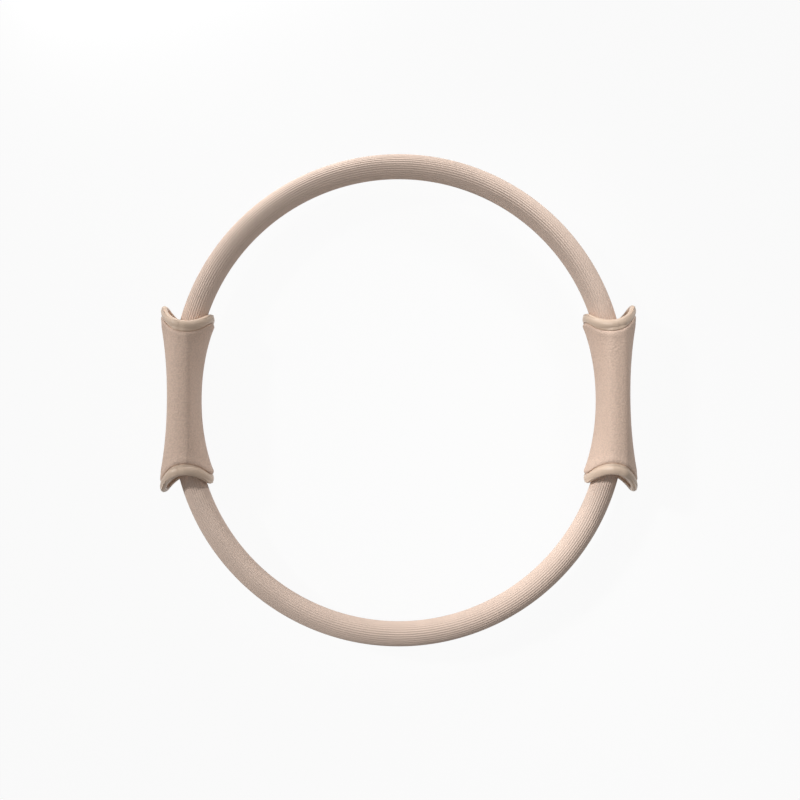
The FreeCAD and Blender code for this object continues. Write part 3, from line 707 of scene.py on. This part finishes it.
def make_floor():
    """Plain pale floor under the ring, white to the camera but for the ring's shadow."""
    reach = FLOOR_REACH
    mesh = bpy.data.meshes.new("floor")
    low = cad_low.z
    corners = [(-reach, -reach, low), (reach, -reach, low), (reach, reach, low), (-reach, reach, low)]
    mesh.from_pydata(corners, [], [(0, 1, 2, 3)])
    floor = add_object("floor", mesh)
    material = bpy.data.materials.new("floor")
    material.use_nodes = True
    tree = material.node_tree
    tree.nodes.remove(tree.nodes["Principled BSDF"])
    plain = tree.nodes.new("ShaderNodeBsdfDiffuse")
    plain.inputs["Color"].default_value = (FLOOR_GREY, FLOOR_GREY, FLOOR_GREY, 1.0)
    white = tree.nodes.new("ShaderNodeEmission")
    white.inputs["Strength"].default_value = 1.0
    share = tree.nodes.new("ShaderNodeMath")
    share.operation = "MULTIPLY"
    share.inputs[1].default_value = WHITE_SHARE
    tree.links.new(seen_directly(tree), share.inputs[0])
    mix = tree.nodes.new("ShaderNodeMixShader")
    tree.links.new(share.outputs["Value"], mix.inputs["Fac"])
    tree.links.new(plain.outputs["BSDF"], mix.inputs[1])
    tree.links.new(white.outputs["Emission"], mix.inputs[2])
    tree.links.new(mix.outputs["Shader"], tree.nodes["Material Output"].inputs["Surface"])
    mesh.materials.append(material)


def make_world():
    """White all round, and a weaker fill light on the ring."""
    world = bpy.data.worlds.new("studio")
    world.use_nodes = True
    tree = world.node_tree
    background = tree.nodes["Background"]
    background.inputs["Color"].default_value = (1.0, 1.0, 1.0, 1.0)
    strength = tree.nodes.new("ShaderNodeMapRange")
    strength.inputs["To Min"].default_value = WORLD_FILL
    strength.inputs["To Max"].default_value = 1.0
    tree.links.new(seen_directly(tree), strength.inputs["Value"])
    tree.links.new(strength.outputs["Result"], background.inputs["Strength"])
    bpy.context.scene.world = world


def add_lamp(name, kind, place, aim, power):
    lamp = bpy.data.lights.new(name, kind)
    lamp.energy = power
    thing = bpy.data.objects.new(name, lamp)
    thing.location = place
    thing.rotation_euler = (aim - place).to_track_quat("-Z", "Y").to_euler()
    bpy.context.scene.collection.objects.link(thing)
    return lamp


def make_lights():
    """A key light from the left, and two low lights from the upper left and the upper right."""
    low = add_lamp("low_light", "AREA", LOW_LIGHT_PLACE, LOW_LIGHT_AIM, LOW_LIGHT_POWER)
    low.shape = "RECTANGLE"
    low.size = LOW_LIGHT_LENGTH
    low.size_y = LOW_LIGHT_HEIGHT
    edge = add_lamp("edge_light", "SPOT", EDGE_LIGHT_PLACE, EDGE_LIGHT_AIM, EDGE_LIGHT_POWER)
    edge.spot_size = EDGE_LIGHT_SPREAD
    edge.spot_blend = 1.0
    edge.shadow_soft_size = EDGE_LIGHT_SIZE
    key = add_lamp("key_light", "SPOT", KEY_LIGHT_PLACE, KEY_LIGHT_AIM, KEY_LIGHT_POWER)
    key.spot_size = KEY_LIGHT_SPREAD
    key.spot_blend = 1.0
    key.shadow_soft_size = KEY_LIGHT_SIZE


def make_camera():
    """Square on to the ring, a little below its middle, turned by the photo's slight roll."""
    ahead = (CAMERA_AIM - CAMERA_PLACE).normalized()
    right = ahead.cross(Vector((0.0, 1.0, 0.0))).normalized()
    up = right.cross(ahead)
    across = math.cos(CAMERA_ROLL) * right - math.sin(CAMERA_ROLL) * up
    over = math.cos(CAMERA_ROLL) * up + math.sin(CAMERA_ROLL) * right
    camera = bpy.data.cameras.new("camera")
    camera.lens = CAMERA_LENS
    thing = bpy.data.objects.new("camera", camera)
    turned = Matrix((across, over, -ahead)).transposed().to_4x4()
    thing.matrix_world = Matrix.Translation(CAMERA_PLACE) @ turned
    bpy.context.scene.collection.objects.link(thing)
    bpy.context.scene.camera = thing


make_hoop()
make_skins()
make_rims()
finish_cad_nodes()
make_floor()
make_world()
make_lights()
make_camera()
bpy.context.scene.view_settings.view_transform = "Standard"
